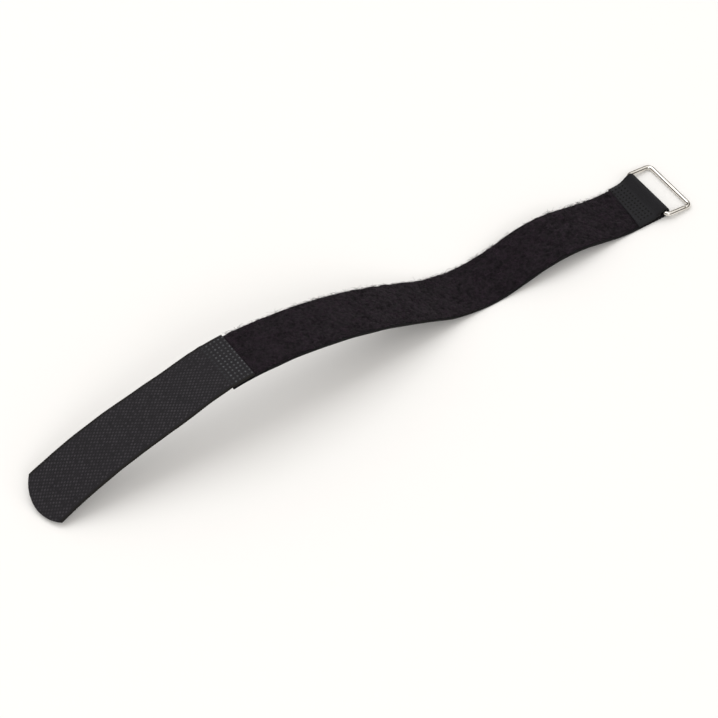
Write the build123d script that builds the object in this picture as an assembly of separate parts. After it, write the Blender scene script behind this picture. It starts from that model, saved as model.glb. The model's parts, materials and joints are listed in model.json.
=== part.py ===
from build123d import *
import math
import os

# A hook-and-loop wrist strap that lies open on a table: a hook tape welded to the end of a loop tape, whose
# other end is folded round the bar of a wire ring. Millimetres and degrees.
# X runs along the strap from the rounded hook tip to the ring, Y across it, Z up from the table.

# ---- Driving dimensions ----
TAPE_WIDTH = 25.0
BASE_THICK = 0.7  # woven base of either tape
PILE_TALL = 1.3  # free loop pile, above its base
PILE_INSET = 1.0  # bare selvage each side of the pile
PILE_CRUSHED = 0.6  # pile under the hook tape's end, and round the ring's bar
HOOK_TALL = 1.1
HOOK_CRUSHED = 0.6  # hooks pressed into the pile
HOOK_INSET = 1.2  # bare selvage each side of the hooks

# The wave that the strap lies in, as (length, turn) runs from the hook tip, for the loop tape's underside.
# The 24.6 and 11.2 runs, almost straight, bring both troughs down to the table.
TIP_SLOPE = 31.5
WAVE = [
    (50.0, -17.0),
    (25.0, 3.0),
    (30.0, -20.0),
    (62.0, -20.0),
    (24.6, -4.0),
    (36.0, 36.0),
    (12.0, 7.0),
    (30.0, -30.0),
    (11.2, 0.0),
    (14.0, 13.5),
    (16.0, 0.0),
]
BAND_LENGTH = sum(length for length, _ in WAVE)

TIP_RADIUS = 17.0
TIP_BLANK = (20.0, 50.0, 12.0)  # block that the rounded tip is cut out of: ahead, across and deep
FLEX_AT = 82.0  # where the hook end bends up, from the tip
FLEX_GAP = 0.3
LOOP_START = 88.2  # the loop tape's end, under the hook tape
HOOK_END = 98.0  # the hook tape's end, on top of the loop tape
FLAP_LENGTH = 14.6  # the end folded back over the ring's bar, up to the fold's outermost line

WIRE_RADIUS = 1.0
RING_INSIDE = 26.0  # across the strap
RING_REACH = 12.6  # from the near bar's axis to the far bar's
RING_CORNER = 2.2  # of the wire's centreline
JOINT_GAP = 0.1  # where the wire's two ends meet
JOINT_FROM_CORNER = 1.0
BAR_CLEARANCE = 0.1

SPOT_RADIUS = 0.45  # ultrasonic weld spots, in a square grid
SPOT_PITCH = 1.8
SPOT_OVERRUN = 1.0  # how far a cutting pin runs past the layers that it cuts
PIT_DEPTH = 0.2
TAPE_SPOTS = (6, 13)  # along and across
FOLD_SPOTS = (4, 12)

# ---- Heights above the loop tape's underside, along the tape's own normal ----
LOOP_TOP = BASE_THICK
PILE_TOP = LOOP_TOP + PILE_TALL
WELD_PILE_TOP = LOOP_TOP + PILE_CRUSHED
HOOK_BASE = WELD_PILE_TOP + HOOK_CRUSHED
HOOK_TOP = HOOK_BASE + BASE_THICK
HOOK_FOOT = HOOK_BASE - HOOK_TALL

# ---- The fold round the ring's near bar ----
BORE_RADIUS = WIRE_RADIUS + BAR_CLEARANCE
FOLD_INNER = BORE_RADIUS + PILE_CRUSHED
FOLD_OUTER = FOLD_INNER + BASE_THICK
FLAP_SLOPE = 26.0
FLAP_BASE = 2.3  # underside of the flap where it lies flat
FLAP_TOP = FLAP_BASE + BASE_THICK
BAR_AT = BAND_LENGTH - FOLD_OUTER
FLAP_START = BAND_LENGTH - FLAP_LENGTH
FLAP_SPOTS_AT = FLAP_START + 1.4
RING_DROP = math.degrees(math.asin((FOLD_OUTER - WIRE_RADIUS) / RING_REACH))


def wave_point(along, up=0.0):
    """The point at a length along the wave and a height on its normal, as a Vector at Y 0."""
    x, z, slope, left = 0.0, 0.0, math.radians(TIP_SLOPE), along
    for length, turn in WAVE:
        part = min(left, length)
        bend = math.radians(turn) * part / length
        if turn:
            radius = part / bend if bend else 0.0
            x += radius * (math.sin(slope + bend) - math.sin(slope))
            z += radius * (math.cos(slope) - math.cos(slope + bend))
            slope += bend
        else:
            x += part * math.cos(slope)
            z += part * math.sin(slope)
        left -= part
        if left <= 0.0:
            break
    return Vector(x - up * math.sin(slope), 0.0, z + up * math.cos(slope))


def wave_slope(along):
    """The wave's slope in degrees at a length along it."""
    slope, left = TIP_SLOPE, along
    for length, turn in WAVE:
        part = min(left, length)
        slope += turn * part / length
        left -= part
        if left <= 0.0:
            break
    return slope


def wave_edges(start, end, up):
    """Exact lines and arcs of the wave between two lengths, at one height on its normal."""
    edges, at = [], 0.0
    for length, turn in WAVE:
        low, high = max(start, at), min(end, at + length)
        if high - low > 1e-6:
            ends = wave_point(low, up), wave_point(high, up)
            if turn:
                edges.append(ThreePointArc(ends[0], wave_point((low + high) / 2, up), ends[1]))
            else:
                edges.append(Line(*ends))
        at += length
    return edges


def across(outline, width):
    """A closed outline in the XZ plane, made solid across the strap."""
    return extrude(make_face(outline), amount=width / 2, dir=(0, 1, 0), both=True)


def ribbon(start, end, low, high, width):
    """A layer of the strap between two lengths and two heights."""
    close = [
        Line(wave_point(end, low), wave_point(end, high)),
        Line(wave_point(start, low), wave_point(start, high)),
    ]
    return across(wave_edges(start, end, low) + wave_edges(start, end, high) + close, width)


def wave_plane(along, up):
    """A plane on the wave, with local X along the strap and local Z on its normal."""
    slope = math.radians(wave_slope(along))
    along_dir = (math.cos(slope), 0, math.sin(slope))
    normal = (-math.sin(slope), 0, math.cos(slope))
    return Plane(origin=wave_point(along, up), x_dir=along_dir, z_dir=normal)


def tip_waste():
    """What the rounded tip cuts away: everything outside its arc, ahead of the arc's two corners."""
    depth = TIP_RADIUS - math.sqrt(TIP_RADIUS**2 - (TAPE_WIDTH / 2) ** 2)
    ahead = Rectangle(TIP_BLANK[0], TIP_BLANK[1], align=(Align.MAX, Align.CENTER))
    outside = ahead - Pos(TIP_RADIUS - depth, 0) * Circle(TIP_RADIUS)
    return extrude(wave_plane(depth, HOOK_BASE) * outside, amount=TIP_BLANK[2] / 2, both=True)


def spots(first, counts, low, high):
    """Upright pins through a stretch of the strap, one for each weld spot."""
    pins = []
    for i in range(counts[0]):
        plane = wave_plane(first + i * SPOT_PITCH, low)
        for j in range(counts[1]):
            y = (j - (counts[1] - 1) / 2) * SPOT_PITCH
            pin = Cylinder(SPOT_RADIUS, high - low, align=(Align.CENTER, Align.CENTER, Align.MIN))
            pins.append(plane * Pos(0, y, 0) * pin)
    return pins


def flap_outline(radius, flat_height, bar):
    """Edges from the bar's underside, round it and down the flap to its free end, at one radius."""
    slope = math.radians(FLAP_SLOPE)
    leave = bar + Vector(-radius * math.sin(slope), 0, radius * math.cos(slope))
    free_end = wave_point(FLAP_START, flat_height)
    drop = (leave.Z - free_end.Z) / math.tan(slope)
    flat_from = Vector(leave.X - drop, 0, free_end.Z)
    around = ThreePointArc(bar - Vector(0, 0, radius), bar + Vector(radius, 0, 0), leave)
    return [around, Line(leave, flat_from), Line(flat_from, free_end)]


# ---- Sub-parts ----
def make_loop_tape(bar):
    """Woven base of the loop tape: the long run, the fold round the bar and the flap."""
    run = ribbon(LOOP_START, BAR_AT, 0, LOOP_TOP, TAPE_WIDTH)
    outer = flap_outline(FOLD_OUTER, FLAP_TOP, bar)
    inner = flap_outline(FOLD_INNER, FLAP_BASE, bar)
    close = [Line(outer[0] @ 0, inner[0] @ 0), Line(outer[-1] @ 1, inner[-1] @ 1)]
    fold = across(outer + inner + close, TAPE_WIDTH)
    pits = spots(FLAP_SPOTS_AT, FOLD_SPOTS, FLAP_TOP - PIT_DEPTH, FLAP_TOP + SPOT_OVERRUN)
    return run + fold - pits


def make_loop_pile(bar, nuggets):
    """Pile of the loop tape: free along the strap, crushed in the weld, and folded on itself at the ring."""
    width = TAPE_WIDTH - 2 * PILE_INSET
    crushed = ribbon(LOOP_START, HOOK_END, LOOP_TOP, WELD_PILE_TOP, width)
    free = ribbon(HOOK_END, FLAP_START, LOOP_TOP, PILE_TOP, width)
    inner = flap_outline(FOLD_INNER, FLAP_BASE, bar)
    foot = wave_point(FLAP_START, LOOP_TOP)
    close = [Line(inner[-1] @ 1, foot), Line(foot, inner[0] @ 0)]
    folded = across(inner + close, width)
    bore = Pos(bar) * Rot(90, 0, 0) * Cylinder(BORE_RADIUS, width)
    return crushed + free + (folded - bore) - nuggets


def make_hook_tape(start, end):
    """Woven base of the hook tape between two lengths."""
    return ribbon(start, end, HOOK_BASE, HOOK_TOP, TAPE_WIDTH)


def make_hooks(start, end, foot):
    """The layer that the hooks fill, under their tape."""
    return ribbon(start, end, foot, HOOK_BASE, TAPE_WIDTH - 2 * HOOK_INSET)


def make_ring(bar):
    """Wire ring: one length of wire bent to a rounded rectangle, its ends meeting on a short side."""
    half = RING_INSIDE / 2 + WIRE_RADIUS
    joint = RING_REACH - RING_CORNER - JOINT_FROM_CORNER
    corners = [
        (joint + JOINT_GAP, -half),
        (RING_REACH, -half),
        (RING_REACH, half),
        (0, half),
        (0, -half),
        (joint, -half),
    ]
    path = FilletPolyline(*corners, radius=RING_CORNER)
    section = Plane(origin=path @ 0, z_dir=path % 0) * Circle(WIRE_RADIUS)
    return Pos(bar) * Rot(0, RING_DROP, 0) * sweep(section, path=path)


def write_parts(parts):
    """Centres the whole strap over the origin, stands it on Z 0 and writes one file for each node."""
    boxes = [part.bounding_box() for part in parts.values()]
    low_x = min(box.min.X for box in boxes)
    high_x = max(box.max.X for box in boxes)
    low_z = min(box.min.Z for box in boxes)
    move = Pos(-(low_x + high_x) / 2, 0, -low_z)
    os.makedirs("parts", exist_ok=True)
    for name, part in parts.items():
        export_step(move * part, f"parts/{name}.step")


bar_axis = wave_point(BAR_AT, FOLD_OUTER)
tab_end = FLEX_AT - FLEX_GAP / 2
root_start = FLEX_AT + FLEX_GAP / 2
overlap = HOOK_END - LOOP_START
first_spot = LOOP_START + (overlap - (TAPE_SPOTS[0] - 1) * SPOT_PITCH) / 2

tape_pins = spots(first_spot, TAPE_SPOTS, LOOP_TOP - SPOT_OVERRUN, HOOK_BASE + SPOT_OVERRUN)
tape_nuggets = ribbon(LOOP_START, HOOK_END, LOOP_TOP, HOOK_BASE, TAPE_WIDTH) & (Part() + tape_pins)
fold_nuggets = spots(FLAP_SPOTS_AT, FOLD_SPOTS, LOOP_TOP, FLAP_BASE)
tape_pits = spots(first_spot, TAPE_SPOTS, HOOK_TOP - PIT_DEPTH, HOOK_TOP + SPOT_OVERRUN)

root_hooks = make_hooks(root_start, LOOP_START, HOOK_FOOT) + make_hooks(LOOP_START, HOOK_END, WELD_PILE_TOP)
write_parts(
    {
        "loop_tape": make_loop_tape(bar_axis),
        "loop_pile": make_loop_pile(bar_axis, tape_pins + fold_nuggets),
        "hook_tape": make_hook_tape(0, tab_end) - tip_waste(),
        "hook_field": make_hooks(0, tab_end, HOOK_FOOT) - tip_waste(),
        "hook_tape_root": make_hook_tape(root_start, HOOK_END) - tape_pits,
        "hook_field_root": root_hooks - tape_pins,
        "tape_weld": tape_nuggets,
        "fold_weld": Compound(children=fold_nuggets),
        "wire_ring": make_ring(bar_axis),
    }
)
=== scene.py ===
import json
import math

import bpy
import numpy as np
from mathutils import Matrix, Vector


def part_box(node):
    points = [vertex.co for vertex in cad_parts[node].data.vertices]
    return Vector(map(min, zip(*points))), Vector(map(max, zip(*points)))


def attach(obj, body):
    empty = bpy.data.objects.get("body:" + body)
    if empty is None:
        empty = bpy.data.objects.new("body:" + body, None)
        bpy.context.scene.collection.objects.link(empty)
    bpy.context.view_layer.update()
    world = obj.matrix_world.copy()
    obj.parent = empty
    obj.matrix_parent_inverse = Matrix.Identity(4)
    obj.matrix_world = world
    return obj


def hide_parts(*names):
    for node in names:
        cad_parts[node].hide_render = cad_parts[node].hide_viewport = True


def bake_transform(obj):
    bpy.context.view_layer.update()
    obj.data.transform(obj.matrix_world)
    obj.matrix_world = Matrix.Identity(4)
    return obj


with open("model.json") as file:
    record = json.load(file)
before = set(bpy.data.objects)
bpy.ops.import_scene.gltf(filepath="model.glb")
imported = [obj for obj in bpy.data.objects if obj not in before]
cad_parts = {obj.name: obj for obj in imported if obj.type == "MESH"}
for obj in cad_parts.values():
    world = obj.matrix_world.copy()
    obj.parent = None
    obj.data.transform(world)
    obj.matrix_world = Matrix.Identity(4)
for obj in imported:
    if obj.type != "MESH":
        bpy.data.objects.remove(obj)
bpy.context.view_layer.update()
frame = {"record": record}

# A hook-and-loop wrist strap lying open: woven hook tape, woven loop tape with its pile, hooks, weld spots
# and a wire ring. Lengths here are millimetres in the part's frame, and make_mesh turns them into metres.
MM = 0.001

# ---- Lengths along the strap, from the hook tape's tip ----
TAPE_WIDTH = 25.0
HALF = TAPE_WIDTH / 2
TIP_RADIUS = 17.0
TIP_SHAPED = 20.0  # the rounding is spread over this much of the hook tape
LOOP_START = 88.2
HOOK_END = 98.0
FLAP_START = 296.2
BAR_AT = 308.4
BAND_LENGTH = 310.8  # to the outermost line of the fold

# ---- The wave in which the strap lies: its slope at the tip, then (length, turn in degrees) runs ----
TIP_SLOPE = 31.5
WAVE = [
    (50.0, -17.0),
    (25.0, 3.0),
    (30.0, -20.0),
    (62.0, -20.0),
    (24.6, -4.0),
    (36.0, 36.0),
    (12.0, 7.0),
    (30.0, -30.0),
    (11.2, 0.0),
    (14.0, 13.5),
]
FLAT_AT_RING = 13.6  # the wave's last, flat run, up to the ring's bar
FOLD_RADIUS = 2.4  # the loop tape's outer face round the bar
FLAP_SLOPE = 26.0
FLAP_DROP = 2.628  # the slanting stretch of the flap
FLAP_EASE = 4.0  # radius where the flap comes down to lie flat
FLAP_FLAT = 7.03
FLAP_PRESSED = (317.5, 325.5)  # the weld presses the flap down more and more over this stretch
WELD_REACH = (7.2, 8.8)  # how far the smoother, welded weave reaches back from the flap's end
FLAP_DROOP = 0.7  # how far its side edges sag past the pile
DROOP_WIDTH = 2.2
DROOP_RISES = (318.0, 323.0)
FLAP_SKEW = 0.108  # the flap's end is cut this much out of square
SKEW_LENGTH = 1.2
FOLD_DETAIL = 294.0  # the mesh is finer from here to the flap's end

# Heights on the tape's normal, above the loop tape's underside
LOOP_LOW, LOOP_TOP = 0.06, 0.7
FLAP_PRESS = 0.5  # how much the weld presses the flap down
PILE_BED = 1.75  # free pile, matted
WELD_BED = 1.5  # pile crushed under the hook tape
SANDWICH_BED = 1.95  # pile between the flap and the run below it
PILE_LINING = 0.42  # thickness of the pile round the bar
PILE_RISES = 303.9  # from here the pile fills the wedge under the slanting flap
LINING_FROM, LINING_TO = 306.3, 306.9
PILE_END = 317.4
WELD_SINK = 0.4  # how much the weld presses the hook tape down
HOOK_LOW, HOOK_TOP = 1.92, 2.6
HOOK_FOOT = 0.92

# ---- Weld spots, on square grids of (along, across) spots, from a first row ----
SPOT_PITCH = 1.8
SPOT_RADIUS = 0.45
TAPE_SPOTS = (6, 13)
TAPE_SPOTS_AT = 88.6
FOLD_SPOTS = (4, 12)
FOLD_SPOTS_AT = 297.6

# ---- The ring, on the wire's centreline, in the place where the CAD has it ----
WIRE_RADIUS = 1.0
RING_HALF = 14.0
RING_REACH = 12.6  # from the near bar to the far bar
RING_CORNER = 2.2
RING_TILT = 6.379  # degrees, down to where the far bar rests on the table
RING_JOINT = 9.4  # where the wire's ends meet, from the bar's axis

# ---- The hook tape's sag below its own level, between its raised tip and the loop tape's end ----
TAPE_SAG = 0.35
SAG_STARTS = (58.0, 70.0)
SAG_ENDS_FROM = 85.6

# ---- The hook tape's bend at its joint ----
TAB_FROM, TAB_TO = 70.0, 90.0

# ---- The hook tape's slight twist, which raises its far edge towards the tip. CAD has none ----
TIP_ROLL = math.radians(11.0)
TIP_LIFT = 0.5
ROLL_END = 88.0

CAMERA_AZIMUTH = -34.10
CAMERA_ELEVATION = 49.195
CAMERA_DISTANCE = 1154.9
CAMERA_TARGET = (-9.009, -5.845, 0.0)
CAMERA_LENS = 143.31
SENSOR = 36.0


# ==== Geometry helpers ====
class Path:
    """A line of (length, turn) runs in the XZ plane. Its normal is on its left, which is up on the table."""

    def __init__(self, slope, runs):
        at, x, z, angle = 0.0, 0.0, 0.0, math.radians(slope)
        table = []
        for length, turn in runs:
            bend = math.radians(turn)
            table.append((at, x, z, angle, bend / length))
            chord = length * float(np.sinc(bend / 2 / np.pi))
            x += chord * math.cos(angle + bend / 2)
            z += chord * math.sin(angle + bend / 2)
            at += length
            angle += bend
        self.start, self.x, self.z, self.angle, self.curve = np.array(table).T
        self.length = at
        self.roll = lambda along: 0 * along

    def move(self, x, z):
        self.x = self.x + x
        self.z = self.z + z

    def frame(self, along):
        """x, z and slope in radians at lengths along the path."""
        run = np.clip(np.searchsorted(self.start, along, side="right") - 1, 0, len(self.start) - 1)
        ahead = along - self.start[run]
        bend = self.curve[run] * ahead
        chord = ahead * np.sinc(bend / 2 / np.pi)
        heading = self.angle[run] + bend / 2
        x = self.x[run] + chord * np.cos(heading)
        z = self.z[run] + chord * np.sin(heading)
        return x, z, self.angle[run] + bend

    def points(self, along, across, up):
        """Points at lengths along the path, at Y across and at heights on its normal."""
        x, z, slope = self.frame(along)
        roll = self.roll(along)
        rise = across * np.sin(roll) + TIP_LIFT * roll / TIP_ROLL
        y = across * np.cos(roll) + 0 * x
        return np.stack([x - up * np.sin(slope), y, z + up * np.cos(slope) + rise], axis=-1)


def smooth(value, low, high):
    """0 below low, 1 above high, and a smooth step between."""
    t = np.clip((value - low) / (high - low), 0, 1)
    return t * t * (3 - 2 * t)


def make_mesh(name, points, *face_sets):
    """A smooth-shaded piece from points in millimetres and arrays of faces, one for each corner count."""
    corners = np.concatenate([faces.ravel() for faces in face_sets])
    counts = np.concatenate([np.full(len(faces), faces.shape[1]) for faces in face_sets])
    mesh = bpy.data.meshes.new(name)
    mesh.vertices.add(len(points))
    mesh.vertices.foreach_set("co", (points * MM).astype(np.float32).ravel())
    mesh.loops.add(len(corners))
    mesh.loops.foreach_set("vertex_index", corners.astype(np.int32))
    mesh.polygons.add(len(counts))
    mesh.polygons.foreach_set("loop_start", (np.cumsum(counts) - counts).astype(np.int32))
    mesh.update(calc_edges=True)
    mesh.validate()
    mesh.shade_smooth()
    piece = bpy.data.objects.new(name, mesh)
    bpy.context.scene.collection.objects.link(piece)
    return piece


def add_uv(piece, name, pairs):
    """A UV map from one (u, v) pair for each face corner, in face order."""
    layer = piece.data.uv_layers.new(name=name)
    layer.uv.foreach_set("vector", pairs.astype(np.float32).ravel())


def add_value(piece, name, values):
    """A number for each vertex, for the material to read."""
    attribute = piece.data.attributes.new(name, "FLOAT", "POINT")
    attribute.data.foreach_set("value", values.astype(np.float32).ravel())


def grid_quads(rows, columns):
    """Quads of a grid of points in row order, the last column joined to the first."""
    i = np.arange(rows - 1)[:, None]
    j = np.arange(columns)[None, :]
    here, beside = i * columns + j, i * columns + (j + 1) % columns
    return np.stack([here, here + columns, beside + columns, beside], axis=-1).reshape(-1, 4)


def banded_uv(rows, columns, bands):
    """Bake UVs for grid_quads: the strip's length is cut into bands, stacked one over another."""
    i = np.repeat(np.arange(rows - 1), columns)
    j = np.tile(np.arange(columns), rows - 1)
    per_band = math.ceil((rows - 1) / bands)
    band = i // per_band
    u = (i - band * per_band)[:, None] + np.array([0, 1, 1, 0])
    v = j[:, None] + np.array([0, 0, 1, 1])
    margin = 0.004
    u = margin + u / per_band * (1 - 2 * margin)
    v = (band[:, None] + margin + v / columns * (1 - 2 * margin)) / bands
    return np.stack([u, v], axis=-1).reshape(-1, 2)


def noise(seed, a, b, size):
    """Smooth random heights from 0 to 1 over two lengths, with features about one size across."""
    grid = np.random.default_rng(seed).random((257, 257))
    p, q = a / size, b / size
    i, j = np.floor(p).astype(int), np.floor(q).astype(int)
    f, g = smooth(p - i, 0, 1), smooth(q - j, 0, 1)
    corner = [[grid[(i + m) % 257, (j + n) % 257] for n in (0, 1)] for m in (0, 1)]
    near = corner[0][0] * (1 - g) + corner[0][1] * g
    far = corner[1][0] * (1 - g) + corner[1][1] * g
    return near * (1 - f) + far * f


def dots(seed, along, across, pitch_along, pitch_across, long, wide, uneven):
    """0 to 1 heights of a staggered grid of rounded dots. uneven is how much lower the lowest ones are."""
    rng = np.random.default_rng(seed)
    each = 1 - uneven * rng.random((512, 64))
    each *= 1 - 0.5 * uneven * rng.random((512, 1))
    row = np.round(along / pitch_along).astype(int)
    shifted = across - 0.5 * pitch_across * (row % 2)
    column = np.round(shifted / pitch_across).astype(int)
    from_row = (along - row * pitch_along) / (long / 2)
    from_dot = (shifted - column * pitch_across) / (wide / 2)
    return np.clip(1 - from_row**2 - from_dot**2, 0, 1) * each[row % 512, column % 64]


def weld_spots(along, across, first, counts, radius):
    """0 to 1 depths of one weld's grid of round spots."""
    column = np.clip(np.round((along - first) / SPOT_PITCH), 0, counts[0] - 1)
    middle = (counts[1] - 1) / 2
    row = np.clip(np.round(across / SPOT_PITCH + middle), 0, counts[1] - 1) - middle
    away = np.hypot(along - first - column * SPOT_PITCH, across - row * SPOT_PITCH)
    return 1 - smooth(away, 0.6 * radius, 1.2 * radius)


def uneven_spots(seed, along, across):
    """A random number from 0 to 1 for each spot of the hook tape's weld."""
    each = np.random.default_rng(seed).random((64, 64))
    column = np.round((along - TAPE_SPOTS_AT) / SPOT_PITCH).astype(int)
    row = np.round(across / SPOT_PITCH).astype(int)
    return each[column % 64, row % 64]


class Strip:
    """A closed flat strip that follows a path: as many columns on its lower face as on its upper one, with
    rounded edges. low and high are heights on the path's normal, numbers or functions of the length."""

    EDGE = 5

    def __init__(self, rows, half_width, low, high, column_width, rounding, tip=0.0):
        count = int(round(2 * (half_width - rounding) / column_width)) + 1
        across = np.linspace(-(half_width - rounding), half_width - rounding, count)
        turn = np.linspace(0, np.pi, self.EDGE + 2)[1:-1]
        right = half_width - rounding + rounding * np.sin(turn)
        side = np.concatenate([np.ones(count), np.cos(turn), -np.ones(count), -np.cos(turn)])
        ring = np.concatenate([across, right, across[::-1], -right])
        self.count, self.columns, self.rows = count, len(ring), len(rows)
        self.across = np.tile(ring, (len(rows), 1))
        self.side = np.tile(side, (len(rows), 1))
        self.along = np.tile(rows[:, None], (1, len(ring)))
        if tip:
            back = TIP_RADIUS - np.sqrt(TIP_RADIUS**2 - np.clip(self.across, -HALF, HALF) ** 2)
            self.along = self.along + back * np.clip(1 - self.along / tip, 0, 1)
        low = low(self.along) if callable(low) else low
        high = high(self.along) if callable(high) else high
        self.up = (low + high) / 2 + (high - low) / 2 * self.side
        self.edge = smooth(np.abs(self.across), half_width - 1.3, half_width - 0.3)

    def raise_faces(self, height):
        """Moves both faces outward by a height in millimetres, less near the edges."""
        self.up = self.up + height * self.side * (np.abs(self.side) > 0.99) * (1 - 0.7 * self.edge)

    def mesh(self, name, path, bands):
        points = path.points(self.along, self.across, self.up).reshape(-1, 3)
        body = grid_quads(self.rows, self.columns)
        n, k = self.count, self.EDGE
        top = np.arange(n - 1)
        lower = 2 * n + k - 1 - top
        cap = np.stack([top, top + 1, lower - 1, lower], axis=-1)
        right = np.arange(n - 1, n + k + 1)[None, :]
        left = np.append(np.arange(2 * n + k - 1, 2 * n + 2 * k), 0)[None, :]
        last = (self.rows - 1) * self.columns
        quads = np.concatenate([body, cap, cap[:, ::-1] + last])
        ends = np.concatenate([right, left, right[:, ::-1] + last, left[:, ::-1] + last])
        piece = make_mesh(name, points, quads, ends)
        corners = np.concatenate([quads.ravel(), ends.ravel()])
        flat = np.stack([self.along.ravel(), self.across.ravel()], axis=-1)
        add_uv(piece, "Weave", flat[corners])
        bake = banded_uv(self.rows, self.columns, bands)
        rest = np.tile([[0.001, 0.001]], (len(corners) - len(bake), 1))
        add_uv(piece, "OFBake", np.concatenate([bake, rest]))
        return piece


def fibres(name, lines, radius, reference, shade, sides=3, taper=None):
    """Thin round filaments along lines, an array of (filament, point, XYZ), closed at both ends.
    reference is one direction for each filament that its line never runs along."""
    count, length, _ = lines.shape
    run = np.gradient(lines, axis=1)
    run /= np.linalg.norm(run, axis=2, keepdims=True) + 1e-9
    out = np.cross(run, reference[:, None, :])
    out /= np.linalg.norm(out, axis=2, keepdims=True) + 1e-9
    other = np.cross(run, out)
    turn = 2 * np.pi * np.arange(sides) / sides
    scale = radius * (np.ones(length) if taper is None else taper)
    circle = np.cos(turn)[:, None] * out[:, :, None, :] + np.sin(turn)[:, None] * other[:, :, None, :]
    points = lines[:, :, None, :] + scale[None, :, None, None] * circle
    per = length * sides
    one = grid_quads(length, sides)
    offset = (np.arange(count) * per)[:, None, None]
    quads = (one[None] + offset).reshape(-1, 4)
    ring = np.arange(sides)
    caps = np.stack([ring, ring[::-1] + per - sides])
    ends = (caps[None] + offset).reshape(-1, sides)
    piece = make_mesh(name, points.reshape(-1, 3), quads, ends)
    cells = math.ceil(math.sqrt(count))
    local = np.tile([[0.2, 0.2], [0.8, 0.2], [0.8, 0.8], [0.2, 0.8]], (len(one), 1))
    cell = np.stack([np.arange(count) % cells, np.arange(count) // cells], axis=-1)
    body_uv = (cell[:, None, :] + local[None]) / cells
    ends_uv = np.repeat((cell + 0.5) / cells, 2 * sides, axis=0)
    add_uv(piece, "OFBake", np.concatenate([body_uv.reshape(-1, 2), ends_uv]))
    add_value(piece, "shade", np.repeat(shade, per))
    return piece


# ==== Material helpers ====
class Field:
    """A node's output that takes part in arithmetic."""

    def __init__(self, tree, socket):
        self.tree, self.socket = tree, socket

    def math(self, operation, *others):
        node = self.tree.nodes.new("ShaderNodeMath")
        node.operation = operation
        for index, value in enumerate((self, *others)):
            if isinstance(value, Field):
                self.tree.links.new(value.socket, node.inputs[index])
            else:
                node.inputs[index].default_value = value
        return Field(self.tree, node.outputs[0])

    def __add__(self, other):
        return self.math("ADD", other)

    def __mul__(self, other):
        return self.math("MULTIPLY", other)

    def wave(self, pitch):
        """0 to 1 and back once for each pitch."""
        return (self * (2 * math.pi / pitch)).math("SINE") * 0.5 + 0.5


class Finish:
    """A Principled material under construction, with short ways to add its nodes."""

    def __init__(self, name, **constants):
        self.material = bpy.data.materials.new(name)
        self.material.use_nodes = True
        self.tree = self.material.node_tree
        self.shader = self.tree.nodes["Principled BSDF"]
        for socket, value in constants.items():
            self.shader.inputs[socket.replace("_", " ")].default_value = value

    def value(self, attribute):
        node = self.tree.nodes.new("ShaderNodeAttribute")
        node.attribute_name = attribute
        return Field(self.tree, node.outputs["Fac"])

    def weave(self):
        """Lengths along and across the tape, in millimetres, and both as one vector."""
        uv = self.tree.nodes.new("ShaderNodeUVMap")
        uv.uv_map = "Weave"
        split = self.tree.nodes.new("ShaderNodeSeparateXYZ")
        self.tree.links.new(uv.outputs[0], split.inputs[0])
        return Field(self.tree, split.outputs[0]), Field(self.tree, split.outputs[1]), uv.outputs[0]

    def place(self):
        """The point on the piece, in metres."""
        return self.tree.nodes.new("ShaderNodeTexCoord").outputs["Object"]

    def stretched(self, vector, scale):
        node = self.tree.nodes.new("ShaderNodeMapping")
        node.inputs["Scale"].default_value = scale
        self.tree.links.new(vector, node.inputs["Vector"])
        return node.outputs[0]

    def noise(self, vector, scale, detail=4.0, roughness=0.6):
        node = self.tree.nodes.new("ShaderNodeTexNoise")
        node.inputs["Scale"].default_value = scale
        node.inputs["Detail"].default_value = detail
        node.inputs["Roughness"].default_value = roughness
        self.tree.links.new(vector, node.inputs["Vector"])
        return Field(self.tree, node.outputs["Fac"])

    def ramp(self, field, *stops):
        """A colour for each (place, colour) stop, blended between them."""
        node = self.tree.nodes.new("ShaderNodeValToRGB")
        elements = node.color_ramp.elements
        while len(elements) < len(stops):
            elements.new(0.5)
        for element, (at, colour) in zip(elements, stops):
            element.position = at
            element.color = (*colour, 1.0)
        self.tree.links.new(field.socket, node.inputs["Fac"])
        return node.outputs["Color"]

    def mix(self, share, first, second):
        """first and second colours mixed by a share, which is a field or a number."""
        node = self.tree.nodes.new("ShaderNodeMix")
        node.data_type = "RGBA"
        if isinstance(share, Field):
            self.tree.links.new(share.socket, node.inputs[0])
        else:
            node.inputs[0].default_value = share
        for index, colour in ((6, first), (7, second)):
            if isinstance(colour, bpy.types.NodeSocket):
                self.tree.links.new(colour, node.inputs[index])
            else:
                node.inputs[index].default_value = (*colour, 1.0)
        return node.outputs[2]

    def colour(self, socket):
        self.tree.links.new(socket, self.shader.inputs["Base Color"])

    def roughness(self, field):
        self.tree.links.new(field.socket, self.shader.inputs["Roughness"])

    def bump(self, field, millimetres):
        node = self.tree.nodes.new("ShaderNodeBump")
        node.inputs["Distance"].default_value = millimetres * MM
        node.inputs["Strength"].default_value = 1.0
        self.tree.links.new(field.socket, node.inputs["Height"])
        self.tree.links.new(node.outputs[0], self.shader.inputs["Normal"])


def dress(piece, material):
    piece.data.materials.clear()
    piece.data.materials.append(material)


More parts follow.
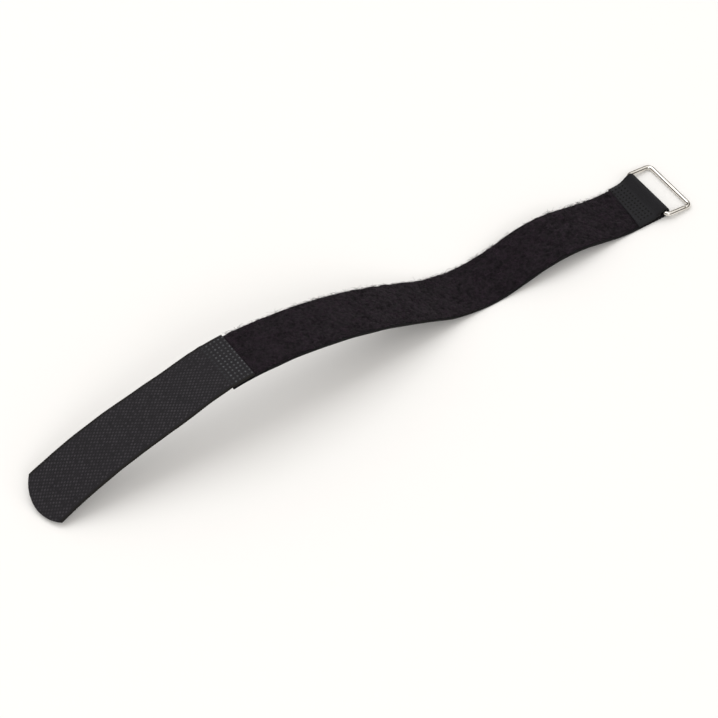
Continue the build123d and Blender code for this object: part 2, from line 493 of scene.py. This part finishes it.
# ==== Materials ====
def woven_finish(name, ground, float_highlight, edge, warp_pitch, weft_pitch):
    """Woven nylon tape: threads both ways, a darker selvage and glossy fused weld spots. The floats and
    thread crests are painted lighter as a painted highlight and the gaps darker as painted shade; the weld
    spots are painted lighter as a painted glint, and the flap's weld pits darker as painted shade.
    """
    finish = Finish(name, Sheen_Weight=0.04, Sheen_Roughness=0.5, Specular_IOR_Level=0.15)
    along, across, flat = finish.weave()
    threads = along.wave(weft_pitch) * across.wave(warp_pitch)
    fuzz = finish.noise(finish.stretched(flat, (1.0, 3.0, 1.0)), 2.6, 6.0, 0.7)
    rows = finish.noise(finish.stretched(flat, (1.0, 0.22, 1.0)), 1.1, 2.0)
    patches = finish.noise(flat, 0.11, 3.0)
    lift = finish.value("lift")
    # Painted highlight on the floats and thread crests, painted shade in the gaps between them.
    shade = finish.ramp(lift + threads * 0.25 + fuzz * 0.25 + rows * 0.4 + -0.2, (0.2, ground), (1.0, float_highlight))
    shade = finish.mix(patches * 0.35, shade, ground)
    # Darker selvage; on the flap it also adds painted shade in the weld pits.
    shade = finish.mix(finish.value("dark_rim_and_pit_shade"), shade, edge)
    # The weld spots' lighter colour is a painted glint.
    melt_glint = finish.mix(fuzz, (0.02, 0.0215, 0.0245), (0.05, 0.054, 0.06))
    finish.colour(finish.mix(finish.value("melt_and_glint"), shade, melt_glint))
    finish.roughness(fuzz * 0.25 + finish.value("melt_and_glint") * -0.3 + 0.6)
    finish.bump(threads + fuzz * 0.6, 0.13)
    return finish.material


def pile_finish(name):
    """Matted ground of the loop pile, in clumps of under a millimetre."""
    finish = Finish(name, Sheen_Weight=0.04, Sheen_Roughness=0.6, Specular_IOR_Level=0.1)
    place = finish.place()
    clumps = finish.noise(place, 1500.0, 3.0)
    tangle = finish.noise(finish.stretched(place, (1.0, 2.2, 1.0)), 5200.0, 5.0, 0.75)
    mottle = finish.noise(place, 430.0, 2.0)
    cool = finish.noise(place, 90.0, 2.0)
    dark, light = (0.0005, 0.0003, 0.0005), (0.019, 0.0105, 0.018)
    shade = finish.ramp(clumps * 0.7 + mottle * 0.5 + tangle * 0.4 + -0.2, (0.42, dark), (0.78, light))
    finish.colour(finish.mix(cool * 0.3, shade, (0.008, 0.0085, 0.0095)))
    finish.roughness(tangle * 0.2 + 0.75)
    finish.bump(clumps + tangle, 0.22)
    return finish.material


def filament_finish(name, dark, light, roughness, sheen):
    """Nylon filament whose shade changes from one filament to the next."""
    finish = Finish(name, Sheen_Weight=sheen, Sheen_Roughness=0.5, Specular_IOR_Level=0.15)
    shade = finish.value("shade")
    finish.colour(finish.ramp(shade, (0.0, dark), (1.0, light)))
    finish.roughness(shade * 0.15 + roughness)
    return finish.material


def weld_finish(name, dark, light):
    """Nylon fused and pressed glossy by the welding tool. Its colour runs from the dark to the light one with
    grain and each cap's random shade; the hook tape's caps get light colours as a painted glint, the flap's
    caps dark ones as painted shade in its pits.
    """
    finish = Finish(name, Coat_Weight=0.25, Coat_Roughness=0.25)
    grain = finish.noise(finish.place(), 2600.0, 4.0)
    finish.colour(finish.ramp(grain * 0.4 + finish.value("shade") * 0.8 + -0.1, (0.0, dark), (1.0, light)))
    finish.roughness(grain * 0.25 + 0.28)
    finish.bump(grain, 0.03)
    return finish.material


def nickel_finish(name):
    """Bright nickel plate with fine drawing lines along the wire and a few dull patches."""
    finish = Finish(name, Metallic=1.0)
    along, around, flat = finish.weave()
    lines = finish.noise(finish.stretched(flat, (0.25, 9.0, 1.0)), 4.0, 5.0)
    dull = finish.noise(flat, 0.22, 3.0)
    finish.colour(finish.ramp(dull, (0.35, (0.86, 0.83, 0.78)), (0.75, (0.7, 0.67, 0.62))))
    finish.roughness(lines * 0.07 + dull * 0.14 + 0.05)
    finish.bump(lines, 0.006)
    return finish.material


# ==== Paths, placed by the frame ====
def placed_paths():
    """The wave from the tip to the flap's end, and the loop tape's own path round the bar."""
    fold = [
        (math.radians(180 + FLAP_SLOPE) * FOLD_RADIUS, 180 + FLAP_SLOPE),
        (FLAP_DROP, 0.0),
        (math.radians(FLAP_SLOPE) * FLAP_EASE, -FLAP_SLOPE),
        (FLAP_FLAT, 0.0),
    ]
    wave = Path(TIP_SLOPE, WAVE + [(BAND_LENGTH - sum(length for length, _ in WAVE), 0.0)])
    loop = Path(TIP_SLOPE, WAVE + [(FLAT_AT_RING, 0.0)] + fold)
    low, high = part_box("loop_tape")
    end_x, _, _ = wave.frame(np.array([BAND_LENGTH]))
    _, underside, _ = wave.frame(np.linspace(LOOP_START, BAR_AT, 4000))
    for path in (wave, loop):
        path.move(high.x / MM - end_x[0], low.z / MM - underside.min())
    wave.roll = lambda along: TIP_ROLL * np.clip(1 - along / ROLL_END, 0, 1)
    return wave, loop


# ==== Sub-parts ====
def hook_tape_low(along):
    """Underside of the hook tape, which sags a little until the loop tape's end lifts it."""
    sag = TAPE_SAG * smooth(along, *SAG_STARTS) * (1 - smooth(along, SAG_ENDS_FROM, LOOP_START + 0.4))
    return HOOK_LOW - sag - WELD_SINK * smooth(along, LOOP_START - 1, LOOP_START + 2)


def hook_tape_high(along):
    return hook_tape_low(along) + HOOK_TOP - HOOK_LOW


def make_hook_tape(path):
    """Woven hook tape: ribs across, a staggered float where each hook's filament passes over, rounded tip."""
    rib, float_across = 1.0, 1.65
    rows = np.linspace(0, HOOK_END, 1 + int(HOOK_END / 0.3))
    strip = Strip(rows, HALF, hook_tape_low, hook_tape_high, float_across / 8, 0.3, tip=TIP_SHAPED)
    field = 1 - smooth(np.abs(strip.across), HALF - 1.5, HALF - 1.1)
    floats = dots(1, strip.along, strip.across, rib, float_across, 1.0, 0.85, 1.0) * field
    ribs = 0.5 + 0.5 * np.cos(2 * np.pi * strip.along / rib)
    pressed = smooth(strip.along, TAPE_SPOTS_AT - 1.2, TAPE_SPOTS_AT - 0.3)
    # How strong each weld spot's painted glint is, at random.
    spot_glint = 0.35 + 0.65 * uneven_spots(6, strip.along, strip.across)
    spots = weld_spots(strip.along, strip.across, TAPE_SPOTS_AT, TAPE_SPOTS, SPOT_RADIUS) * pressed
    uneven = noise(3, strip.along, strip.across, 3.1) * 0.06
    plain = 1 - 0.75 * pressed
    strip.raise_faces((0.16 * np.sqrt(floats) + 0.06 * ribs) * plain + uneven - 0.16 * spots)
    scallop = 0.05 * np.sin(2 * np.pi * strip.along / rib)
    scallop = scallop + 0.16 * (noise(4, strip.along, strip.side, 7.0) - 0.5)
    strip.across = strip.across + np.sign(strip.across) * scallop * strip.edge
    piece = strip.mesh("hook_tape_weave", path, 2)
    upper = strip.side > 0.5
    # The floats are painted lighter on both faces, more on the upper one: a painted highlight.
    add_value(piece, "lift", np.sqrt(floats) * plain * (0.35 + 0.65 * upper))
    add_value(piece, "dark_rim_and_pit_shade", strip.edge * 0.85)
    # Painted glint of the weld spots, each at its own strength, on the upper face only.
    add_value(piece, "melt_and_glint", np.clip(spots * 0.8 * spot_glint + 0.05 * pressed, 0, 1) * upper)
    # The second colour is the floats' painted highlight; the first is the tape's own colour and also the
    # painted shade in the weave's gaps; the third is the selvage.
    ground, float_highlight, edge = (0.0125, 0.0114, 0.0136), (0.0515, 0.0472, 0.0545), (0.0095, 0.0082, 0.006)
    dress(piece, woven_finish("hook_tape_nylon", ground, float_highlight, edge, 0.55, 0.525))
    return piece


def flap_press(along):
    """How far the flap is pressed towards the pile, which is up on the folded path's normal."""
    return FLAP_PRESS * smooth(along, *FLAP_PRESSED)


def loop_tape_low(along):
    return LOOP_LOW + flap_press(along)


def loop_tape_high(along):
    return LOOP_TOP + 0.8 * flap_press(along)


def make_loop_tape(path):
    """Woven loop tape: the run under the pile, the fold round the bar, and the flap with its pressed pits."""
    rib = 0.8
    run = np.arange(LOOP_START, FOLD_DETAIL, 0.8)
    fold = np.linspace(FOLD_DETAIL, path.length, 1 + int((path.length - FOLD_DETAIL) / 0.17))
    rows = np.concatenate([run, fold])
    strip = Strip(rows, HALF, loop_tape_low, loop_tape_high, 0.24, 0.28)
    ribs = 0.5 + 0.5 * np.cos(2 * np.pi * strip.along / rib)
    threads = dots(2, strip.along, strip.across, rib, 1.0, 0.8, 0.75, 0.4)
    flap_end = path.length
    from_end = flap_end - strip.along
    spots = weld_spots(from_end, strip.across, FOLD_SPOTS_AT - FLAP_START, FOLD_SPOTS, SPOT_RADIUS)
    pressed = 1 - smooth(from_end, *WELD_REACH)
    outer = strip.side < -0.5
    fine = smooth(strip.along, FOLD_DETAIL, FOLD_DETAIL + 2)
    relief = (0.03 * ribs + 0.035 * threads) * fine
    strip.raise_faces(relief * (1 - 0.6 * pressed) - 0.34 * spots * outer)
    at_edge = smooth(np.abs(strip.across), HALF - DROOP_WIDTH, HALF)
    strip.up = strip.up + FLAP_DROOP * at_edge * smooth(strip.along, *DROOP_RISES)
    scallop = 0.06 * np.sin(2 * np.pi * strip.along / 1.6) * fine
    scallop = scallop + 0.3 * (noise(5, strip.along, strip.side, 9.0) - 0.5)
    strip.across = strip.across + np.sign(strip.across) * scallop * strip.edge
    at_end = smooth(strip.along, flap_end - SKEW_LENGTH, flap_end)
    strip.along = strip.along - FLAP_SKEW * strip.across * at_end
    piece = strip.mesh("loop_tape_weave", path, 4)
    # The thread dots are painted lighter as a painted highlight.
    add_value(piece, "lift", (threads * 0.5 - 0.15 * pressed) * fine)
    # Painted shade in the flap's weld pits, added to the darker selvage.
    add_value(piece, "dark_rim_and_pit_shade", np.clip(strip.edge * 0.6 + 1.3 * spots * outer, 0, 1))
    # A faint painted sheen over the flap's pressed weld, between the pits.
    add_value(piece, "melt_and_glint", 0.12 * pressed * outer * (1 - spots))
    # The second colour is the thread dots' painted highlight; the first is the tape's own colour and also the
    # painted shade in the gaps.
    ground, float_highlight, edge = (0.0105, 0.0101, 0.012), (0.0215, 0.021, 0.0245), (0.0055, 0.0051, 0.0045)
    dress(piece, woven_finish("loop_tape_nylon", ground, float_highlight, edge, 0.5, 0.4))
    return piece


def pile_top(along):
    """Height of the matted pile: crushed in the weld, free along the strap, and filling the fold."""
    free = WELD_BED + (PILE_BED - WELD_BED) * smooth(along, HOOK_END - 0.4, HOOK_END + 0.8)
    filled = free + (SANDWICH_BED - free) * smooth(along, FLAP_START - 0.6, FLAP_START + 0.4)
    rising = filled + np.clip(along - PILE_RISES, 0, None) * math.tan(math.radians(FLAP_SLOPE))
    lining = LOOP_TOP + PILE_LINING
    return rising + (lining - rising) * smooth(along, LINING_FROM, LINING_TO)


def make_pile_bed(path):
    """The pile's matted ground, a lumpy layer on the loop tape that also lines the fold."""
    run = np.arange(LOOP_START + 0.1, FOLD_DETAIL, 0.4)
    fold = np.arange(FOLD_DETAIL, PILE_END, 0.2)
    rows = np.concatenate([run, fold])
    strip = Strip(rows, HALF - 0.8, LOOP_TOP - 0.05, pile_top, 0.35, 0.5)
    lumps = noise(11, strip.along, strip.across, 0.9) * 0.5 + noise(12, strip.along, strip.across, 0.5) * 0.35
    waves = noise(13, strip.along, strip.across, 5.0) * 0.25
    free = smooth(strip.along, HOOK_END, HOOK_END + 1.5) * (1 - smooth(strip.along, 295.0, 296.4))
    upper = strip.side > 0.99
    strip.raise_faces((lumps + waves - 0.5) * 0.9 * free * upper)
    wander = 0.8 * (noise(14, strip.along, strip.side, 2.2) - 0.5)
    strip.across = strip.across + np.sign(strip.across) * wander * strip.edge
    piece = strip.mesh("loop_pile_bed", path, 4)
    dress(piece, pile_finish("loop_pile_ground"))
    return piece


def pile_loops(path, name, seed, count, height, width, radius, finish):
    """Curled pile loops that rise from the matted ground, lean over and go back into it."""
    rng = np.random.default_rng(seed)
    along = rng.uniform(HOOK_END + 0.5, FLAP_START - 0.4, count)
    across = rng.uniform(-(HALF - 0.75), HALF - 0.75, count)
    yaw = rng.uniform(0, 2 * np.pi, count)
    half = rng.uniform(0.5, 1.0, count) * width / 2
    tall = rng.uniform(0.45, 1.0, count) * height
    lean = rng.normal(0, 0.45, count)
    turn = np.linspace(-0.25, np.pi + 0.25, 8)
    out = half[:, None] * np.cos(turn) * rng.uniform(0.75, 1.25, (count, 8))
    up = tall[:, None] * np.sin(turn)
    side = lean[:, None] * up + 0.12 * rng.normal(0, 1, (count, 8))
    cos, sin = np.cos(yaw)[:, None], np.sin(yaw)[:, None]
    base = PILE_BED - 0.2
    line_along = along[:, None] + out * cos - side * sin
    line_across = across[:, None] + out * sin + side * cos
    lines = path.points(line_along, line_across, base + up)
    reference = np.stack([-np.sin(yaw), np.cos(yaw), np.zeros(count)], axis=-1)
    clump = 0.55 * smooth(noise(41, along, across, 0.9), 0.35, 0.75)
    clump = clump + 0.45 * smooth(noise(42, along, across, 2.3), 0.3, 0.7)
    shade = np.clip((0.2 + 0.8 * clump) * rng.random(count) ** 2 + 0.4 * clump**2 - 0.08, 0, 1)
    piece = fibres(name, lines, radius, reference, shade)
    dress(piece, finish)
    return piece


def stray_fibres(path, name, seed, clusters, finish):
    """Broken filaments that stand out past the pile's edges, in loose bunches."""
    rng = np.random.default_rng(seed)
    centre = rng.uniform(HOOK_END + 2, FLAP_START - 2, clusters)
    side = np.where(rng.random(clusters) < 0.7, 1.0, -1.0)
    each = rng.integers(2, 9, clusters)
    centre, side = np.repeat(centre, each), np.repeat(side, each)
    count = len(centre)
    along = centre + rng.normal(0, 0.9, count)
    long = rng.uniform(1.0, 2.8, count)
    t = np.linspace(0, 1, 8)
    drift = rng.normal(0, 0.8, count)[:, None] * long[:, None] * t
    curl = rng.normal(0, 0.5, count)[:, None] * t**2 * long[:, None]
    reach = HALF - 1.6 + long[:, None] * np.sin(1.3 * t) * rng.uniform(0.6, 1.0, count)[:, None]
    up = PILE_BED - 0.3 + 0.75 * long[:, None] * t * rng.uniform(0.2, 1.0, count)[:, None]
    lines = path.points(along[:, None] + drift + curl, side[:, None] * reach, up - 0.4 * t**2 * long[:, None])
    reference = np.tile([0.6, 0.1, -0.8], (count, 1))
    piece = fibres(name, lines, 0.045, reference, rng.random(count), taper=1 - 0.5 * t)
    dress(piece, finish)
    return piece


def make_hooks(path):
    """Rows of monofilament hooks under the hook tape, each a J whose point turns back towards the tape."""
    rng = np.random.default_rng(21)
    row_pitch, hook_pitch = 1.3, 1.5
    across = np.arange(-HALF + 1.6, HALF - 1.5, row_pitch)
    hook_rows = np.arange(1.0, LOOP_START - 1.0, hook_pitch)
    along, row = np.meshgrid(hook_rows, np.arange(len(across)), indexing="ij")
    along = along + 0.5 * hook_pitch * (row % 2) + rng.normal(0, 0.06, row.shape)
    y = across[row] + rng.normal(0, 0.05, row.shape)
    facing = np.where(row % 2 == 0, 1.0, -1.0).ravel()
    along, y = along.ravel(), y.ravel()
    tip_line = TIP_RADIUS - np.sqrt(TIP_RADIUS**2 - y**2) + 0.6
    keep = along > tip_line
    along, y, facing = along[keep], y[keep], facing[keep]
    count = keep.sum()
    bow, stem = 0.3, 0.35  # the hook's radius, and its straight stretch below the tape
    turn = np.linspace(0, math.radians(215), 8)
    stem_top = hook_tape_low(along) + 0.08
    foot = HOOK_FOOT - HOOK_LOW + hook_tape_low(along) + rng.uniform(0, 0.06, count)
    out = np.concatenate([[0.0, 0.02], bow * (1 - np.cos(turn))])
    up = np.empty((count, len(out)))
    up[:, 0] = stem_top
    up[:, 1] = stem_top - stem
    up[:, 2:] = foot[:, None] + bow - bow * np.sin(turn)
    sway = rng.normal(0, 0.02, up.shape)
    lines = path.points(along[:, None] + facing[:, None] * out, y[:, None] + sway, up)
    reference = np.tile([0.0, 1.0, 0.0], (count, 1))
    piece = fibres("hooks", lines, 0.095, reference, rng.random(count), sides=5)
    dark, light = (0.012, 0.012, 0.014), (0.03, 0.03, 0.034)
    dress(piece, filament_finish("hook_monofilament", dark, light, 0.32, 0.0))
    return piece


def spot_caps(path, name, lengths, rows, base, height, facing, finish):
    """Low glossy domes of fused nylon, one in each weld spot, in a finish that paints a glint on the hook
    tape's caps and shade in the flap's pits. base is a height on the path's normal.
    """
    sides, rings = 12, 4
    lift = np.linspace(0, np.pi / 2, rings)
    middle = (rows - 1) / 2
    across = (np.arange(rows) - middle) * SPOT_PITCH
    turn = 2 * np.pi * np.arange(sides) / sides
    radius = 0.86 * SPOT_RADIUS * np.cos(lift)
    radius[-1] = 0.04
    rise = height * np.sin(lift)
    skirt_radius = np.concatenate([[radius[0]], radius])
    skirt_rise = np.concatenate([[-0.12], rise])
    centre_s, centre_y = (grid.ravel() for grid in np.meshgrid(lengths, across, indexing="ij"))
    ds = skirt_radius[:, None] * np.cos(turn)
    dy = skirt_radius[:, None] * np.sin(turn) * facing
    s = centre_s[:, None, None] + ds
    y = centre_y[:, None, None] + dy
    up = base + facing * np.broadcast_to(skirt_rise[:, None], s.shape)
    points = path.points(s, y, up).reshape(-1, 3)
    per = len(skirt_rise) * sides
    one = grid_quads(len(skirt_rise), sides)[:, ::-1]
    offset = (np.arange(len(centre_s)) * per)[:, None, None]
    ring = np.arange(sides)
    caps = np.stack([ring[::-1], ring + per - sides])
    quads = (one[None] + offset).reshape(-1, 4)
    ends = (caps[None] + offset).reshape(-1, sides)
    piece = make_mesh(name, points, quads, ends)
    add_value(piece, "shade", np.repeat(np.random.default_rng(51).random(len(centre_s)), per))
    dress(piece, finish)
    return piece


def make_ring(bar_x, bar_z):
    """Nickel wire ring: one wire bent to a rounded rectangle, its domed ends meeting on a short side."""
    gap, dome, sides = 0.2, 0.45, 28
    corner = (math.radians(90) * RING_CORNER, 90.0)
    long_side = (2 * RING_HALF - 2 * RING_CORNER, 0.0)
    short_side = (RING_REACH - 2 * RING_CORNER, 0.0)
    first = (RING_REACH - RING_CORNER - RING_JOINT - gap, 0.0)
    last = (RING_JOINT - RING_CORNER, 0.0)
    wire = Path(0.0, [first, corner, long_side, corner, short_side, corner, long_side, corner, last])
    wire.move(RING_JOINT + gap, -RING_HALF)
    rise = np.linspace(0.1, np.pi / 2, 8)
    end = dome * (1 - np.sin(rise))
    run = np.linspace(dome, wire.length - dome, 300)[1:-1]
    along = np.sort(np.concatenate([end, run, wire.length - end]))
    radius = WIRE_RADIUS * np.concatenate([np.sin(rise), np.ones(len(run)), np.sin(rise[::-1])])
    flat_x, flat_y, heading = wire.frame(along)
    turn = 2 * np.pi * np.arange(sides) / sides
    outward = radius[:, None] * np.cos(turn)
    above = radius[:, None] * np.sin(turn)
    x = flat_x[:, None] - outward * np.sin(heading)[:, None]
    y = flat_y[:, None] + outward * np.cos(heading)[:, None]
    tilt = math.radians(RING_TILT)
    points = np.stack(
        [
            bar_x + x * math.cos(tilt) + above * math.sin(tilt),
            y,
            bar_z - x * math.sin(tilt) + above * math.cos(tilt),
        ],
        axis=-1,
    )
    ring = np.arange(sides)
    caps = np.stack([ring, ring[::-1] + (len(along) - 1) * sides])
    quads = grid_quads(len(along), sides)
    piece = make_mesh("wire_ring_bent", points.reshape(-1, 3), quads, caps)
    girth = 2 * np.pi * WIRE_RADIUS / sides
    flat = np.stack([np.repeat(along, sides), np.tile(ring * girth, len(along))], axis=-1)
    add_uv(piece, "Weave", flat[np.concatenate([quads.ravel(), caps.ravel()])])
    bake = banded_uv(len(along), sides, 6)
    add_uv(piece, "OFBake", np.concatenate([bake, np.full((2 * sides, 2), 0.001)]))
    dress(piece, nickel_finish("bright_nickel"))
    return piece


# ==== Scene ====
def make_floor():
    """A plain pale table top, far wider than the strap."""
    reach = 4000.0
    corners = np.array([[-reach, -reach, 0], [reach, -reach, 0], [reach, reach, 0], [-reach, reach, 0.0]])
    floor = make_mesh("table_top", corners, np.array([[0, 1, 2, 3]]))
    pale = (0.83, 0.825, 0.815, 1.0)
    finish = Finish("pale_table", Base_Color=pale, Roughness=0.85, Specular_IOR_Level=0.1)
    dress(floor, finish.material)


def ground_directions():
    """The camera's direction across the table, and the direction to its right."""
    turn = math.radians(CAMERA_AZIMUTH)
    return np.array([-math.sin(turn), math.cos(turn), 0.0]), np.array([math.cos(turn), math.sin(turn), 0.0])


def point_at(thing, place, target):
    """Puts a camera or light at a place in millimetres and turns it to a target."""
    thing.location = place * MM
    toward = (target - place) * MM
    thing.rotation_euler = Vector(toward).to_track_quat("-Z", "Y").to_euler()


def make_camera():
    away, _ = ground_directions()
    rise = math.radians(CAMERA_ELEVATION)
    target = np.array(CAMERA_TARGET)
    place = target - CAMERA_DISTANCE * (away * math.cos(rise) - np.array([0, 0, math.sin(rise)]))
    data = bpy.data.cameras.new("camera")
    data.lens, data.sensor_width = CAMERA_LENS, SENSOR
    data.clip_start, data.clip_end = 0.05, 30.0
    camera = bpy.data.objects.new("camera", data)
    bpy.context.scene.collection.objects.link(camera)
    point_at(camera, place, target)
    bpy.context.scene.camera = camera


def make_light(name, right, away, height, size, power, colour):
    """A square soft light at distances in millimetres to the camera's right, away from it, and above."""
    forward, sideways = ground_directions()
    place = sideways * right + forward * away + np.array([0, 0, height])
    data = bpy.data.lights.new(name, "AREA")
    data.shape, data.size = "SQUARE", size * MM
    data.energy, data.color = power, colour
    light = bpy.data.objects.new(name, data)
    bpy.context.scene.collection.objects.link(light)
    point_at(light, place, np.zeros(3))


def make_surroundings():
    """A pale studio: pale to the eye, a little warmer as light, and dark brown low down in reflections."""
    world = bpy.data.worlds.new("studio")
    world.use_nodes = True
    tree = world.node_tree
    direction = tree.nodes.new("ShaderNodeTexCoord")
    split = tree.nodes.new("ShaderNodeSeparateXYZ")
    ray = tree.nodes.new("ShaderNodeLightPath")
    tree.links.new(direction.outputs["Generated"], split.inputs[0])

    def sky(low, low_colour, high, high_colour):
        ramp = tree.nodes.new("ShaderNodeValToRGB")
        for element, at, colour in zip(ramp.color_ramp.elements, (low, high), (low_colour, high_colour)):
            element.position = at
            element.color = (*colour, 1.0)
        tree.links.new(split.outputs["Z"], ramp.inputs["Fac"])
        return ramp.outputs["Color"]

    def choose(share, first, second):
        mix = tree.nodes.new("ShaderNodeMix")
        mix.data_type = "RGBA"
        tree.links.new(share, mix.inputs[0])
        tree.links.new(first, mix.inputs[6])
        tree.links.new(second, mix.inputs[7])
        return mix.outputs[2]

    ambient = sky(0.0, (0.78, 0.745, 0.71), 0.4, (0.93, 0.905, 0.875))
    reflected = sky(0.5, (0.05, 0.042, 0.034), 0.66, (1.0, 0.98, 0.95))
    seen = sky(0.0, (0.93, 0.93, 0.93), 1.0, (1.0, 1.0, 1.0))
    unseen = choose(ray.outputs["Is Glossy Ray"], ambient, reflected)
    colour = choose(ray.outputs["Is Camera Ray"], unseen, seen)
    tree.links.new(colour, tree.nodes["Background"].inputs["Color"])
    bpy.context.scene.world = world


# ==== Build ====
make_camera()
wave, loop = placed_paths()
joints = {joint["name"]: joint for joint in frame["record"]["behaviour"]["joints"]}
bar = np.array(joints["ring_swing"]["pos_m"]) / MM
weld_lengths = TAPE_SPOTS_AT + SPOT_PITCH * np.arange(TAPE_SPOTS[0])
fold_lengths = loop.length - (FOLD_SPOTS_AT - FLAP_START) - SPOT_PITCH * np.arange(FOLD_SPOTS[0])
purple_pile = filament_finish("pile_filament", (0.0004, 0.0002, 0.0004), (0.052, 0.029, 0.048), 0.6, 0.02)
stray_pile = filament_finish("stray_filament", (0.01, 0.008, 0.01), (0.06, 0.05, 0.055), 0.45, 0.05)

hook_tape = make_hook_tape(wave)
hooks = make_hooks(wave)
loop_tape = make_loop_tape(loop)
pile_bed = make_pile_bed(loop)
pile_pieces = [
    pile_loops(wave, "pile_loops_low", 31, 4500, 0.35, 1.9, 0.045, purple_pile),
    pile_loops(wave, "pile_loops_mid", 32, 4500, 0.55, 1.4, 0.04, purple_pile),
    pile_loops(wave, "pile_loops_high", 33, 4200, 0.75, 1.1, 0.035, purple_pile),
    stray_fibres(wave, "pile_stray_fibres", 34, 150, stray_pile),
]
# Painted glint on the hook tape's weld caps, and painted shade on the flap's weld caps in its pits.
tape_weld_glint = weld_finish("tape_weld_glint_nylon", (0.012, 0.013, 0.015), (0.055, 0.06, 0.068))
fold_weld_shade = weld_finish("fold_weld_shade_nylon", (0.002, 0.002, 0.0025), (0.007, 0.007, 0.008))
tape_base = HOOK_TOP - WELD_SINK - 0.1
fold_base = LOOP_LOW + FLAP_PRESS + 0.42
tape_spots = spot_caps(
    wave, "tape_weld_spots", weld_lengths, TAPE_SPOTS[1], tape_base, 0.13, 1, tape_weld_glint
)
fold_spots = spot_caps(
    loop, "fold_weld_spots", fold_lengths, FOLD_SPOTS[1], fold_base, 0.08, -1, fold_weld_shade
)
ring = make_ring(bar[0], bar[2])

bend_from = wave.points(np.array(TAB_FROM), 0.0, HOOK_LOW) * MM
bend_to = wave.points(np.array(TAB_TO), 0.0, HOOK_LOW) * MM
for piece in (hook_tape, hooks):
    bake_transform(piece)
for piece in (loop_tape, pile_bed, *pile_pieces, tape_spots, fold_spots):
    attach(piece, "band")
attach(ring, "ring")

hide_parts("hook_tape", "hook_tape_root")
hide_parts("hook_field", "hook_field_root")
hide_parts("loop_tape")
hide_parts("loop_pile")
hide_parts("tape_weld")
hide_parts("fold_weld")
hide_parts("wire_ring")

make_floor()
make_surroundings()
make_light("key", -500.0, 600.0, 1900.0, 1800.0, 14.0, (0.98, 0.99, 1.0))
make_light("front", 500.0, -1700.0, 1300.0, 700.0, 7.0, (0.97, 0.99, 1.0))
bpy.context.scene.view_settings.view_transform = "Standard"
